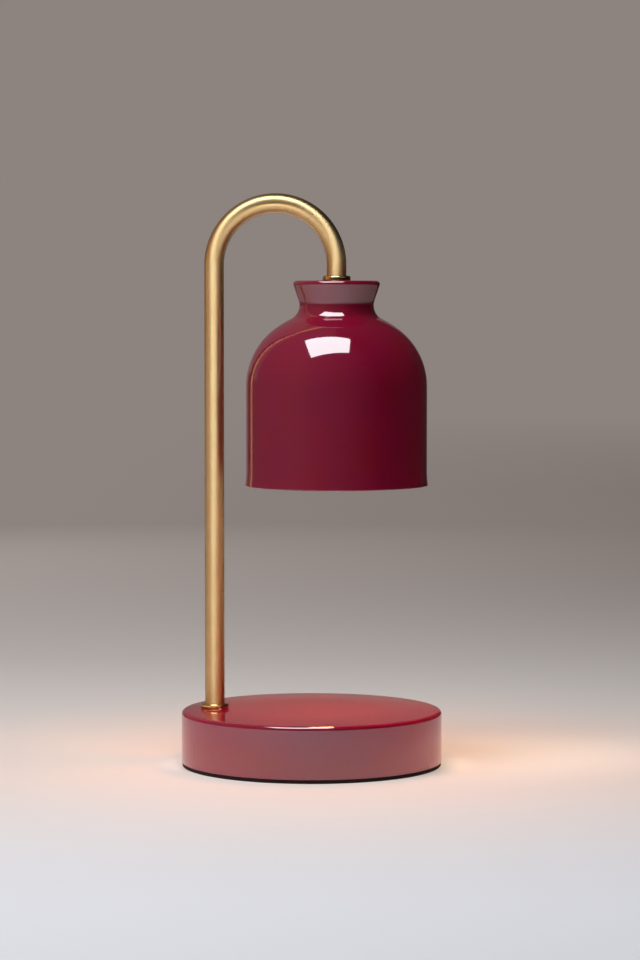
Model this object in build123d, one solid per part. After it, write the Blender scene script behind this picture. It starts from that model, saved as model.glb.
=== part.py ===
"""Candle warmer lamp: a round weighted base, a brass cane arm, and a bell shade with a GU10 halogen lamp.

A candle jar stands on the base under the shade, and the lamp melts its wax from above.
Frame: millimetres, +Z up. The origin is the centre of the foot pad's underside, on the base's axis.
The arm stands at -X, and the shade hangs over the +X side of the base. The cord inlet is at +Y, the back.
"""

from build123d import *
import os
from math import atan, cos, degrees, pi, radians, sin, sqrt, tan

# ---- Base: an enamelled steel pan over a cast ballast disc, closed by a steel plate and a foot pad ----
base_d = 146.0  # outer diameter of the cover
cover_h = 29.0  # height of the cover's side wall, without the pad
cover_wall = 1.2
cover_edge_r = 2.2  # outer radius of the rounded top edge
cover_foot_r = 0.5  # rounding of the wall's lower edge
pad_t = 2.0
pad_inset = 0.4  # the pad's edge lies this far inside the cover's
plate_t = 2.5
plate_gap = 0.2  # play of the plate inside the cover's wall
weight_t = 8.0
weight_gap = 0.8  # room between the ballast's rim and the inner end of the cord's bush
bolt_inset = 19.0  # from the cover's edge to the circle of bolts
bolt_count = 4
standoff_r = 4.0

# ---- Arm: an 11 mm tube bent to a cane, held at each end by a hollow threaded nipple ----
overall_h = 320.0
arm_inset = 18.0  # from the cover's edge to the arm's axis
tube_d = 11.0
tube_wall = 1.0
bend_r = 34.5  # centreline radius of the half-circle bend
arm_drop = 7.7  # straight length after the bend, above the shade's collar
collar_rim = 2.35  # how far the collar stands out from the tube
collar_h = 2.8
collar_web = 1.0  # floor of the collar, under the tube's end
collar_round = 1.2  # radius of the collar's upper edge
collar_foot_round = 0.5
nipple_d = 10.0
spigot_wall = 1.15
nipple_tail = 1.5  # thread left past the nut
spigot_l = 15.0  # brazed length inside the tube at the foot
spigot_rest = 1.2  # at the shade the spigot ends this far before the bend
nut_af = 14.0  # thin M10 x 1 hexagon nut, across flats
nut_h = 4.0
flat_washer_d = 20.0
flat_washer_t = 1.0
star_washer_d = 15.6
star_washer_t = 0.8
star_teeth = 12
star_tooth_depth = 1.6

# ---- Shade: a spun steel bell with a flared neck ----
shade_r = 50.6  # outside of the straight wall
shade_wall = 1.0
shade_straight = 55.5  # height of the straight wall
shoulder_r = 40.0
shoulder_sweep = 55.0  # degrees from level
crown_r = 64.0
crown_end = 63.4  # degrees from level, where the crown meets the throat
throat_r = 8.5  # hollow radius between the crown and the neck
neck_flare = 19.0  # degrees from upright
neck_h = 10.9  # height of the neck's straight flare
neck_edge_r = 1.9  # rounding of the neck's top edge
lip_out = 0.6  # how far the lip flares out at the rim
lip_h = 9.0
rim_round = 0.4

# ---- Lampholder: a GU10 porcelain on a hat bracket under the neck's flat top ----
bracket_t = 1.2
bracket_w = 12.0
bracket_h = 14.0  # from the web's top to the feet's underside
bracket_leg = 1.0  # room between the star washer and the bracket's legs
foot_l = 6.0  # each foot's length outside its leg
holder_h = 16.0
holder_wall = 1.2  # least porcelain beside the cap's recess
holder_corner_r = 4.0
holder_floor = 3.5  # porcelain under the pin heads
pocket_room = 1.3  # round the pin heads, over their whole turn
pocket_corner_r = 4.0
cap_t = 2.0
cap_ledge = 1.0  # width of the ledge that the cap sits on
contact_t = 0.5
contact_w = 6.0
contact_gap = 3.4  # insulating gap between the two contacts
m3_r = 1.5
m3_head_r = 2.8
m3_head_h = 1.8
m3_head_round = 0.7
m3_slot_w = 0.8
m3_slot_depth = 0.8
m3_depth = 8.0  # screw length inside the porcelain
m3_hole_tip = 1.0  # the tapped hole goes this far past the screw's end

# ---- Bulb: a GU10 twist-and-lock halogen reflector lamp ----
bulb_d = 50.6
bulb_l = 46.0  # from the base's top to the front
bulb_rim_h = 4.5
bulb_bulge = 3.4  # how far the reflector's side bows out of a straight cone
bulb_neck_d = 25.0
bulb_base_l = 25.0
bulb_base_w = 17.0
bulb_base_h = 14.0
bulb_base_corner_r = 6.0
bulb_collar_h = 3.0  # the base's round foot, which closes the reflector's neck
reflector_wall = 1.4
lens_t = 1.6
lens_sunk = 0.6  # the lens lies this far inside the rim
pin_pitch = 10.0
pin_r = 1.55
pin_head_r = 2.5
pin_head_h = 2.0
pin_root = 4.0  # pin length inside the lamp's base
twist_angle = 30.0  # degrees from locked to free
capsule_r = 5.0
capsule_l = 25.0
capsule_wall = 1.0
capsule_pinch = 6.0  # solid pinched end in the lamp's base
filament_r = 1.0
filament_l = 6.0
filament_drop = 9.0  # below the reflector's neck
post_r = 0.35

# ---- Wiring inside the lamp, and the cord's inlet ----
lead_d = 2.2
lead_spread = 2.6  # centre to centre, side by side in the tube
lead_bend_r = 6.0
lead_stub = 1.8  # straight length of a lead above the lampholder
lead_entry = 7.0  # how far a lead goes into the terminal block
wiring_lift = 5.0  # height of the leads over the ballast
inlet_bore = 6.6
inlet_shank_r = 4.9
inlet_head_r = 6.5
inlet_tip_r = 5.4
inlet_head_l = 5.0
inlet_round = 0.8
inlet_tail = 1.0  # thread left past the nut
inlet_nut_r = 7.5
inlet_nut_h = 3.0
block_l = 20.0
block_w = 17.0
block_h = 12.0
block_corner_r = 1.0
block_y = 22.0  # centre of the terminal block, behind the base's axis
block_pole_pitch = 8.0
block_tube_r = 2.4
block_screw_r = 1.5
block_screw_pitch = 9.0  # between the two clamp screws of a pole
block_screw_sunk = 1.0  # the clamp screws end this far below the block's top
block_screw_slot_w = 0.5
block_screw_slot_depth = 0.8
block_screw_floor = 2.4  # ballast left under the block's fixing screw

# ---- Screws of the base ----
m4_r = 2.0
m4_head_r = 3.8
m4_slot_l = 4.8
m4_slot_w = 1.0
m4_slot_depth = 1.2
m4_bite = 8.0  # thread length inside a standoff
m4_hole_tip = 1.0  # the tapped hole goes this far past the screw's end

# ---- Clearances ----
thread_gap = 0.05  # between a thread and its nut, both drawn as plain cylinders
hole_gap = 0.15  # round a screw, nipple or bush in a plain hole
slip_gap = 0.05  # round a piece brazed, cemented or pressed in place
twist_gap = 0.3  # between the turning lamp and the fixed lampholder
keyhole_gap = 0.35  # round a pin in its slot

# ---- Places worked out from the sizes above ----
base_r = base_d / 2
bolt_circle_r = base_r - bolt_inset
cover_z = pad_t
table_z = cover_z + cover_h  # the top of the base, where the candle stands
ceiling_z = table_z - cover_wall  # underside of the cover's top
inner_r = base_r - cover_wall
plate_top_z = cover_z + plate_t
weight_top_z = plate_top_z + weight_t
wire_z = weight_top_z + wiring_lift
inlet_z = cover_z + cover_h / 2
inlet_nut_y = sqrt(inner_r**2 - inlet_nut_r**2)  # where the nut's flat face meets the round wall
inlet_end_y = inlet_nut_y - inlet_nut_h - inlet_tail
weight_r = inlet_end_y - weight_gap

tube_r = tube_d / 2
tube_inner_r = tube_r - tube_wall
spigot_r = tube_inner_r - slip_gap
nipple_bore_r = spigot_r - spigot_wall
collar_r = tube_r + collar_rim
foot_x = arm_inset - base_r
shade_x = foot_x + 2 * bend_r
bend_z = overall_h - tube_r - bend_r
shade_top_z = bend_z - arm_drop - collar_web
neck_ceiling_z = shade_top_z - shade_wall
nipple_r = nipple_d / 2
nut_corner_r = nut_af / sqrt(3)

web_z = neck_ceiling_z - bracket_t
upper_nut_z = web_z - star_washer_t - nut_h
lower_nut_z = ceiling_z - flat_washer_t - star_washer_t - nut_h
holder_top_z = neck_ceiling_z - bracket_h
holder_z = holder_top_z - holder_h
leg_x = max(star_washer_d, nut_af) / 2 + bracket_leg
pin_circle_r = pin_pitch / 2
pocket_l = 2 * (pin_circle_r + pin_head_r + pocket_room)
pocket_w = 2 * (pin_circle_r * sin(radians(twist_angle)) + pin_head_r + pocket_room)
recess_l = pocket_l + 2 * cap_ledge
recess_w = pocket_w + 2 * cap_ledge
holder_screw_x = max(leg_x + bracket_t + foot_l / 2, recess_l / 2 + holder_wall + m3_r)
holder_l = 2 * (holder_screw_x + foot_l / 2)
holder_w = recess_w + 2 * holder_wall
floor_top_z = holder_z + holder_floor
pin_head_z = floor_top_z + twist_gap
contact_z = pin_head_z + pin_head_h + twist_gap
cap_z = holder_top_z - cap_t

bulb_top_z = holder_z - twist_gap
bulb_front_z = bulb_top_z - bulb_l
bulb_base_z = bulb_top_z - bulb_base_h
bulb_r = bulb_d / 2
bulb_neck_r = bulb_neck_d / 2

CENTRED = (Align.CENTER, Align.CENTER, Align.MIN)


def disc(radius, height, z, x=0.0, y=0.0):
    """An upright cylinder that starts at height z."""
    return Pos(x, y, z) * Cylinder(radius, height, align=CENTRED)


def block(length, width, height, z, x=0.0, y=0.0):
    """A box on X, Y and Z that starts at height z."""
    return Pos(x, y, z) * Box(length, width, height, align=CENTRED)


def rounded_block(length, width, height, corner_r, z, x=0.0, y=0.0):
    """A box with rounded upright corners that starts at height z."""
    outline = RectangleRounded(length, width, corner_r)
    return Pos(x, y, z) * extrude(outline, height)


def lathe(edges, x=0.0):
    """The solid turned about Z by a closed outline in the XZ plane, then set at x."""
    return Pos(x, 0, 0) * revolve(make_face(edges), Axis.Z)


def run(*points):
    """Straight edges through points given as (radius, height)."""
    corners = [(r, 0, z) for r, z in points]
    return [Line(a, b) for a, b in zip(corners, corners[1:])]


def on_circle(centre, radius, angle):
    """The (radius, height) point of a circle at an angle in degrees."""
    return centre[0] + radius * cos(radians(angle)), centre[1] + radius * sin(radians(angle))


def arc(centre, radius, start, end):
    """A circular edge in the XZ plane between two angles in degrees."""
    spots = [on_circle(centre, radius, a) for a in (start, (start + end) / 2, end)]
    return ThreePointArc(*[(r, 0, z) for r, z in spots])


def soften(solid, ring_r, ring_z, radius):
    """Round a turned solid's circular edges that have one radius and height."""
    circles = solid.edges().filter_by(GeomType.CIRCLE)
    rings = [e for e in circles if abs(e.radius - ring_r) < 0.01 and abs(e.center().Z - ring_z) < 0.01]
    return fillet(rings, radius)


def around(count, radius, start=0.0):
    """The (x, y) places of equal steps round a circle, from an angle in degrees."""
    turns = [radians(start + 360 * i / count) for i in range(count)]
    return [(radius * cos(t), radius * sin(t)) for t in turns]


def hexagon_nut(z, height, x, bore_r):
    """A hexagon nut with its two faces' corners turned off."""
    blank = Pos(x, 0, z) * Rot(0, 0, 30) * extrude(RegularPolygon(nut_corner_r, 6), height)
    chamfer_h = (nut_corner_r - nut_af / 2) * tan(radians(30))
    turned = lathe(
        run(
            (0, z),
            (nut_af / 2, z),
            (nut_corner_r, z + chamfer_h),
            (nut_corner_r, z + height - chamfer_h),
            (nut_af / 2, z + height),
            (0, z + height),
            (0, z),
        ),
        x,
    )
    return (blank & turned) - disc(bore_r, height, z, x)


# ---------------------------------------------------------------- base


def base_bolts():
    """Places of the base's screws, with the arm's foot midway between two of them."""
    return around(bolt_count, bolt_circle_r, 180 + 180 / bolt_count)


def base_cover():
    """The drawn pan: top, side wall and rounded edge, with holes for the arm and the cord's inlet."""
    pan = disc(base_r, cover_h, cover_z) - disc(inner_r, cover_h - cover_wall, cover_z)
    pan = soften(pan, base_r, table_z, cover_edge_r)
    pan = soften(pan, inner_r, ceiling_z, max(cover_edge_r - cover_wall, 0.2))
    pan = soften(pan, base_r, cover_z, min(cover_foot_r, 0.4 * cover_wall))
    pan = soften(pan, inner_r, cover_z, min(cover_foot_r, 0.4 * cover_wall))
    pan -= disc(nipple_r + hole_gap, 3 * cover_wall, ceiling_z - cover_wall, foot_x)
    return pan - inlet_bar(inlet_shank_r + hole_gap, inner_r - inlet_nut_h, base_r + inlet_head_l)


def cover_standoffs():
    """Tapped posts welded under the cover's top."""
    posts = []
    for x, y in base_bolts():
        post = disc(standoff_r, ceiling_z - weight_top_z, weight_top_z, x, y)
        posts.append(post - disc(m4_r + thread_gap, m4_bite + m4_hole_tip, weight_top_z, x, y))
    return posts


def base_weight():
    """The cast ballast disc on the plate, clamped against the posts by the base's screws."""
    casting = disc(weight_r, weight_t, plate_top_z)
    for x, y in base_bolts():
        casting -= disc(m4_r + hole_gap, weight_t, plate_top_z, x, y)
    return casting - disc(m3_r + thread_gap, weight_t, plate_top_z + block_screw_floor, 0, block_y)


def countersink(x, y, gap):
    """The cone of a countersunk M4 head in the plate, grown by a gap."""
    head_h = m4_head_r - m4_r
    cone = Cone(m4_head_r + gap, m4_r + gap, head_h, align=CENTRED)
    return Pos(x, y, cover_z) * cone


def base_plate():
    """The steel bottom plate inside the cover's wall, level with its lower edge."""
    plate = disc(inner_r - plate_gap, plate_t, cover_z)
    for x, y in base_bolts():
        plate -= disc(m4_r + hole_gap, plate_t, cover_z, x, y)
        plate -= countersink(x, y, hole_gap)
    return plate


def base_screws():
    """Countersunk M4 screws through the plate and the ballast into the posts."""
    length = weight_top_z + m4_bite - cover_z
    cross = Box(m4_slot_l, m4_slot_w, 2 * m4_slot_depth) + Box(m4_slot_w, m4_slot_l, 2 * m4_slot_depth)
    screws = []
    for x, y in base_bolts():
        screw = disc(m4_r, length, cover_z, x, y) + countersink(x, y, 0)
        screws.append(screw - Pos(x, y, cover_z) * cross)
    return screws


def foot_pad():
    """The soft disc under the plate and the cover's edge."""
    return disc(base_r - pad_inset, pad_t, 0)


# ---------------------------------------------------------------- arm


def arm_path(y=0.0, start=None, end=None):
    """The arm's centreline, moved sideways by y: up from the foot, round the bend, and down."""
    low = table_z + collar_web if start is None else start
    last = shade_top_z + collar_web if end is None else end
    up = Line((foot_x, y, low), (foot_x, y, bend_z))
    over = ThreePointArc(
        (foot_x, y, bend_z), (foot_x + bend_r, y, bend_z + bend_r), (shade_x, y, bend_z)
    )
    return [up, over, Line((shade_x, y, bend_z), (shade_x, y, last))]


def swept(edges, radius):
    """A round bar of one radius along joined edges."""
    path = Wire(edges)
    section = Plane(origin=path @ 0, z_dir=path % 0) * Circle(radius)
    return sweep(section, path=path)


def arm_tube():
    """The cane: one tube bent through a half circle."""
    return swept(arm_path(), tube_r) - swept(arm_path(), tube_inner_r)


def collar(z, x):
    """A turned ring with a rounded upper edge, bored for the nipple and counterbored for the tube's end."""
    ring = disc(collar_r, collar_h, 0)
    ring = soften(ring, collar_r, collar_h, min(collar_round, 0.6 * collar_rim))
    ring = soften(ring, collar_r, 0, min(collar_foot_round, 0.3 * collar_rim))
    ring -= disc(nipple_r + hole_gap, collar_h, 0) + disc(tube_r + hole_gap, collar_h, collar_web)
    return Pos(x, 0, z) * ring


def lower_collar():
    return collar(table_z, foot_x)


def upper_collar():
    return collar(shade_top_z, shade_x)


def nipple(thread_low, thread_high, spigot_low, spigot_high, x):
    """A hollow screw: a threaded part outside the tube and a plain spigot inside it."""
    solid = disc(nipple_r, thread_high - thread_low, thread_low, x)
    solid += disc(spigot_r, spigot_high - spigot_low, spigot_low, x)
    return solid - disc(nipple_bore_r, spigot_high - thread_low, thread_low, x)


def lower_nipple():
    tube_end = table_z + collar_web
    return nipple(lower_nut_z - nipple_tail, tube_end, tube_end, tube_end + spigot_l, foot_x)


def upper_nipple():
    tube_end = shade_top_z + collar_web
    return nipple(upper_nut_z - nipple_tail, tube_end, tube_end, bend_z - spigot_rest, shade_x)


def star_washer(z, x):
    """A locking washer with teeth cut into its rim."""
    ring = disc(star_washer_d / 2, star_washer_t, z, x) - disc(nipple_r + hole_gap, star_washer_t, z, x)
    notch_w = 0.5 * pi * star_washer_d / star_teeth
    for i in range(star_teeth):
        notch = Pos(star_washer_d / 2, 0, z) * Box(2 * star_tooth_depth, notch_w, 3 * star_washer_t)
        ring -= Pos(x, 0, 0) * Rot(0, 0, 360 * i / star_teeth) * notch
    return ring


def lower_flat_washer():
    z = ceiling_z - flat_washer_t
    ring = disc(flat_washer_d / 2, flat_washer_t, z, foot_x)
    return ring - disc(nipple_r + hole_gap, flat_washer_t, z, foot_x)


def lower_star_washer():
    return star_washer(lower_nut_z + nut_h, foot_x)


def lower_nut():
    return hexagon_nut(lower_nut_z, nut_h, foot_x, nipple_r + thread_gap)


def upper_star_washer():
    return star_washer(upper_nut_z + nut_h, shade_x)


def upper_nut():
    return hexagon_nut(upper_nut_z, nut_h, shade_x, nipple_r + thread_gap)


# ---------------------------------------------------------------- shade


shoulder_c = (shade_r - shoulder_r, shade_straight)
crown_c = on_circle(shoulder_c, shoulder_r - crown_r, shoulder_sweep)
throat_c = on_circle(crown_c, crown_r + throat_r, crown_end)
shade_h = on_circle(throat_c, throat_r, 180 - neck_flare)[1] + neck_h
rim_z = shade_top_z - shade_h


def shade_side(depth):
    """The bell's wall from rim to neck as joined edges, at a depth inside the outer face.

    Heights here are above the rim. Returns the edges, and the (radius, height) points at both ends.
    """
    skin = shade_r - depth
    lip_r = (lip_out**2 + lip_h**2) / (2 * lip_out)
    lip_turn = degrees(2 * atan(lip_out / lip_h))
    lip_c = (skin + lip_r, lip_h)
    lip_start = on_circle(lip_c, lip_r, 180 + lip_turn)
    neck_low = on_circle(throat_c, throat_r + depth, 180 - neck_flare)
    neck_rise = shade_h - depth - neck_low[1]
    neck_top = (neck_low[0] + neck_rise * tan(radians(neck_flare)), shade_h - depth)

    edges = [arc(lip_c, lip_r, 180 + lip_turn, 180)]
    edges += run((skin, lip_h), (skin, shade_straight))
    edges.append(arc(shoulder_c, shoulder_r - depth, 0, shoulder_sweep))
    edges.append(arc(crown_c, crown_r - depth, shoulder_sweep, crown_end))
    edges.append(arc(throat_c, throat_r + depth, crown_end + 180, 180 - neck_flare))
    edges += run(neck_low, neck_top)
    return edges, lip_start, neck_top


def shade_shell():
    """The spun bell, closed by the neck's flat top, with a hole for the nipple."""
    outer, outer_start, outer_top = shade_side(0)
    inner, inner_start, inner_top = shade_side(shade_wall)
    outline = outer + run(outer_top, (0, outer_top[1]), (0, inner_top[1]), inner_top) + inner
    outline += run(inner_start, outer_start)
    bell = lathe(outline)
    bell = soften(bell, *outer_top, neck_edge_r)
    bell = soften(bell, *inner_top, max(neck_edge_r - shade_wall, 0.2))
    bell = soften(bell, *outer_start, min(rim_round, 0.4 * shade_wall))
    bell = soften(bell, *inner_start, min(rim_round, 0.4 * shade_wall))
    bell -= disc(nipple_r + hole_gap, 3 * shade_wall, shade_h - 2 * shade_wall)
    return Pos(shade_x, 0, rim_z) * bell


# ---------------------------------------------------------------- lampholder


def holder_bracket():
    """A hat-shaped strap: its web is clamped under the neck, and its feet carry the lampholder."""
    strap = block(2 * (leg_x + bracket_t), bracket_w, bracket_t, web_z)
    strap -= disc(nipple_r + hole_gap, bracket_t, web_z)
    foot_span = holder_l / 2 - leg_x
    for side in (-1, 1):
        strap += block(bracket_t, bracket_w, bracket_h, holder_top_z, side * (leg_x + bracket_t / 2))
        strap += block(foot_span, bracket_w, bracket_t, holder_top_z, side * (leg_x + foot_span / 2))
        strap -= disc(m3_r + hole_gap, bracket_t, holder_top_z, side * holder_screw_x)
    return Pos(shade_x, 0, 0) * strap


def keyhole():
    """One pin's way through the porcelain floor: a round entry and a slot curved to the locked place."""
    turn = CenterArc((0, 0), pin_circle_r, -twist_angle, twist_angle)
    slot = Pos(0, 0, holder_z) * extrude(SlotArc(turn, 2 * (pin_r + keyhole_gap)), holder_floor)
    entry_x, entry_y = around(1, pin_circle_r, -twist_angle)[0]
    return slot + disc(pin_head_r + keyhole_gap, holder_floor, holder_z, entry_x, entry_y)


def lamp_holder():
    """The porcelain body: keyhole floor, pin pocket, a ledge for the cap, and two screw holes."""
    body = rounded_block(holder_l, holder_w, holder_h, holder_corner_r, holder_z)
    pocket_h = holder_h - holder_floor
    body -= rounded_block(pocket_l, pocket_w, pocket_h, pocket_corner_r, floor_top_z)
    body -= rounded_block(recess_l, recess_w, cap_t, pocket_corner_r, cap_z)
    for turn in (0, 180):
        body -= Rot(0, 0, turn) * keyhole()
        hole_l = m3_depth + m3_hole_tip
        hole = disc(m3_r + thread_gap, hole_l, holder_top_z - hole_l, holder_screw_x)
        body -= Rot(0, 0, turn) * hole
    return Pos(shade_x, 0, 0) * body


def holder_cap():
    """The porcelain lid over the contacts, with a hole for each lead."""
    lid = rounded_block(recess_l - 2 * hole_gap, recess_w - 2 * hole_gap, cap_t, pocket_corner_r, cap_z)
    for side in (-1, 1):
        lid -= disc(lead_d / 2 + hole_gap, cap_t, cap_z, side * pin_circle_r, side * lead_spread / 2)
    return Pos(shade_x, 0, 0) * lid


def holder_contacts():
    """Two sprung strips under the cap, each over one pin head."""
    inner_x = contact_gap / 2
    outer_x = pocket_l / 2 - hole_gap
    strips = []
    for turn in (0, 180):
        leaf = block(outer_x - inner_x, contact_w, contact_t, contact_z, (inner_x + outer_x) / 2)
        riser = block(contact_t, contact_w, cap_z - contact_z, contact_z, outer_x - contact_t / 2)
        strips.append(Pos(shade_x, 0, 0) * Rot(0, 0, turn) * (leaf + riser))
    return strips


def pan_screw(x, y, seat_z, depth):
    """A slotted pan-head M3 screw whose head sits at one height and whose shank goes down from there."""
    head = soften(disc(m3_head_r, m3_head_h, seat_z), m3_head_r, seat_z + m3_head_h, m3_head_round)
    head -= block(2 * m3_head_r, m3_slot_w, m3_slot_depth, seat_z + m3_head_h - m3_slot_depth)
    return Pos(x, y, 0) * (head + disc(m3_r, depth, seat_z - depth))


def holder_screws():
    """Screws through the bracket's feet into the porcelain."""
    places = [shade_x + side * holder_screw_x for side in (-1, 1)]
    return [pan_screw(x, 0, holder_top_z + bracket_t, m3_depth + bracket_t) for x in places]


# ---------------------------------------------------------------- bulb


def reflector_side(depth):
    """The reflector's bowed wall from the front rim to the neck, at a depth inside the glass."""
    rim = (bulb_r - depth, bulb_front_z + bulb_rim_h)
    neck = (bulb_neck_r - depth, bulb_base_z)
    span = sqrt((rim[0] - neck[0]) ** 2 + (rim[1] - neck[1]) ** 2)
    across = bulb_bulge * (neck[1] - rim[1]) / span
    along = bulb_bulge * (rim[0] - neck[0]) / span
    bow = ((rim[0] + neck[0]) / 2 + across, (rim[1] + neck[1]) / 2 + along)
    side = ThreePointArc(*[(r, 0, z) for r, z in (rim, bow, neck)])
    return [*run((rim[0], bulb_front_z), rim), side]


def bulb_reflector():
    """The pressed glass reflector cup, open at the front and at its neck."""
    outer = reflector_side(0)
    inner = reflector_side(reflector_wall)
    neck_r = bulb_neck_r
    outline = outer + inner
    outline += run((neck_r, bulb_base_z), (neck_r - reflector_wall, bulb_base_z))
    outline += run((bulb_r, bulb_front_z), (bulb_r - reflector_wall, bulb_front_z))
    return lathe(outline, shade_x)


def bulb_lens():
    """The front glass, cemented inside the rim."""
    radius = bulb_r - reflector_wall - slip_gap
    return disc(radius, lens_t, bulb_front_z + lens_sunk, shade_x)


def bulb_base():
    """The ceramic base: an oblong body over a round foot that closes the reflector's neck."""
    body = rounded_block(bulb_base_l, bulb_base_w, bulb_base_h, bulb_base_corner_r, bulb_base_z)
    body += disc(bulb_neck_r, bulb_collar_h, bulb_base_z)
    body -= disc(capsule_r + slip_gap, capsule_pinch, bulb_base_z)
    for turn in (0, 180):
        body -= Rot(0, 0, turn) * disc(pin_r + slip_gap, pin_root, bulb_top_z - pin_root, pin_circle_r)
    return Pos(shade_x, 0, 0) * body


def bulb_pins():
    """Two headed pins that hang the lamp in its holder and feed it."""
    pins = []
    for side in (-1, 1):
        x = shade_x + side * pin_circle_r
        shank = disc(pin_r, pin_head_z - bulb_top_z + pin_root, bulb_top_z - pin_root, x)
        pins.append(shank + disc(pin_head_r, pin_head_h, pin_head_z, x))
    return pins


def bulb_capsule():
    """The halogen capsule: a quartz tube with a round tip and a solid pinched end in the base."""
    top_z = bulb_base_z + capsule_pinch
    tip_z = top_z - capsule_l + capsule_r
    outside = disc(capsule_r, top_z - tip_z, tip_z) + Pos(0, 0, tip_z) * Sphere(capsule_r)
    hollow_r = capsule_r - capsule_wall
    hollow = disc(hollow_r, bulb_base_z - tip_z, tip_z) + Pos(0, 0, tip_z) * Sphere(hollow_r)
    return Pos(shade_x, 0, 0) * (outside - hollow)


def bulb_filament():
    """The coiled tungsten wire across the capsule, as one plain rod on its two posts."""
    rod_z = bulb_base_z - filament_drop
    coil = Pos(shade_x, 0, rod_z) * Rot(0, 90, 0) * Cylinder(filament_r, filament_l)
    for side in (-1, 1):
        post_x = shade_x + side * (filament_l - filament_r) / 2
        coil += disc(post_r, filament_drop, rod_z, post_x)
    return coil


# ---------------------------------------------------------------- wiring


def lead(side):
    """One insulated wire from the terminal block through the arm to its contact."""
    pole_x = -side * block_pole_pitch / 2
    lane_y = side * lead_spread / 2
    contact_x = shade_x + side * pin_circle_r
    below = FilletPolyline(
        (pole_x, block_y - block_w / 2 + lead_entry, wire_z),
        (pole_x, lane_y, wire_z),
        (foot_x, lane_y, wire_z),
        (foot_x, lane_y, table_z),
        radius=lead_bend_r,
    )
    above = FilletPolyline(
        (shade_x, lane_y, web_z),
        (shade_x, lane_y, upper_nut_z - nipple_tail),
        (contact_x, lane_y, holder_top_z + lead_stub),
        (contact_x, lane_y, contact_z + contact_t),
        radius=lead_d,
    )
    through = arm_path(lane_y, table_z, web_z)
    return swept([*below.edges(), *through, *above.edges()], lead_d / 2)


def lead_live():
    return lead(1)


def lead_neutral():
    return lead(-1)


def inlet_bar(radius, low_y, high_y):
    """A round bar along Y on the inlet's axis."""
    return Pos(0, low_y, inlet_z) * Rot(-90, 0, 0) * Cylinder(radius, high_y - low_y, align=CENTRED)


def inlet_bush():
    """The cord's bush in the cover's wall: a tapered head outside and a threaded shank inside."""
    head = Cone(inlet_head_r, inlet_tip_r, inlet_head_l, align=CENTRED)
    head = soften(head, inlet_tip_r, inlet_head_l, inlet_round)
    bush = Pos(0, base_r, inlet_z) * Rot(-90, 0, 0) * head
    bush += inlet_bar(inlet_shank_r, inlet_end_y, base_r)
    return bush - inlet_bar(inlet_bore / 2, inlet_end_y, base_r + inlet_head_l)


def inlet_nut():
    """The bush's locking nut, flat against the inside of the cover's wall."""
    nut = extrude(RegularPolygon(inlet_nut_r, 6), inlet_nut_h)
    nut = Pos(0, inlet_nut_y - inlet_nut_h, inlet_z) * Rot(-90, 0, 0) * nut
    return nut - inlet_bar(inlet_shank_r + thread_gap, inlet_end_y, base_r)


def block_poles():
    """The x places of the terminal block's two poles."""
    return [-block_pole_pitch / 2, block_pole_pitch / 2]


def pole_tube(x, radius):
    """A round bar along Y through the block at one pole."""
    return Pos(x, block_y, wire_z) * Rot(90, 0, 0) * Cylinder(radius, block_w)


def clamp_places():
    """The (x, y) places of the terminal block's clamp screws."""
    return [(x, block_y + side * block_screw_pitch / 2) for x in block_poles() for side in (-1, 1)]


def terminal_block():
    """The moulded body of a two-pole screw terminal, fixed on the ballast."""
    body = rounded_block(block_l, block_w, block_h, block_corner_r, weight_top_z, 0, block_y)
    for x in block_poles():
        body -= pole_tube(x, block_tube_r + slip_gap)
    for x, y in clamp_places():
        body -= disc(block_screw_r + hole_gap, block_h, wire_z, x, y)
    return body - disc(m3_r + hole_gap, block_h, weight_top_z, 0, block_y)


def terminal_tubes():
    """The brass tubes that take the wires, one for each pole."""
    tubes = []
    for x in block_poles():
        tube = pole_tube(x, block_tube_r) - pole_tube(x, lead_d / 2 + hole_gap)
        for cx, cy in clamp_places():
            if cx == x:
                tube -= disc(block_screw_r + thread_gap, block_h, wire_z, cx, cy)
        tubes.append(tube)
    return tubes


def terminal_screws():
    """The slotted screws that clamp the wires."""
    low = wire_z + lead_d / 2
    high = weight_top_z + block_h - block_screw_sunk
    slot_z = high - block_screw_slot_depth
    screws = []
    for x, y in clamp_places():
        slot = block(3 * block_screw_r, block_screw_slot_w, block_screw_slot_depth, slot_z, x, y)
        screws.append(disc(block_screw_r, high - low, low, x, y) - slot)
    return screws


def terminal_fixing_screw():
    """The screw that holds the terminal block on the ballast."""
    return pan_screw(0, block_y, weight_top_z + block_h, block_h + weight_t - block_screw_floor)


NODES = [
    base_cover,
    cover_standoffs,
    base_weight,
    base_plate,
    base_screws,
    foot_pad,
    arm_tube,
    lower_collar,
    upper_collar,
    lower_nipple,
    upper_nipple,
    lower_flat_washer,
    lower_star_washer,
    lower_nut,
    upper_star_washer,
    upper_nut,
    shade_shell,
    holder_bracket,
    lamp_holder,
    holder_cap,
    holder_contacts,
    holder_screws,
    bulb_reflector,
    bulb_lens,
    bulb_base,
    bulb_pins,
    bulb_capsule,
    bulb_filament,
    lead_live,
    lead_neutral,
    inlet_bush,
    inlet_nut,
    terminal_block,
    terminal_tubes,
    terminal_screws,
    terminal_fixing_screw,
]


def write(name, made):
    """Write one node's solid, or its group of solids, as a STEP file."""
    pieces = made if isinstance(made, list) else [made]
    solids = [solid for piece in pieces for solid in piece.solids()]
    shape = solids[0] if len(solids) == 1 else Compound(children=solids)
    export_step(shape, f"parts/{name}.step")


os.makedirs("parts", exist_ok=True)
for make in NODES:
    write(make.__name__, make())
print(f"rim {rim_z:.1f}, neck top {shade_top_z:.1f}, bend {bend_z:.1f}, shade axis {shade_x:.1f}")
print(f"bulb front {bulb_front_z:.1f}, holder {holder_z:.1f} to {holder_top_z:.1f}")
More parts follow.
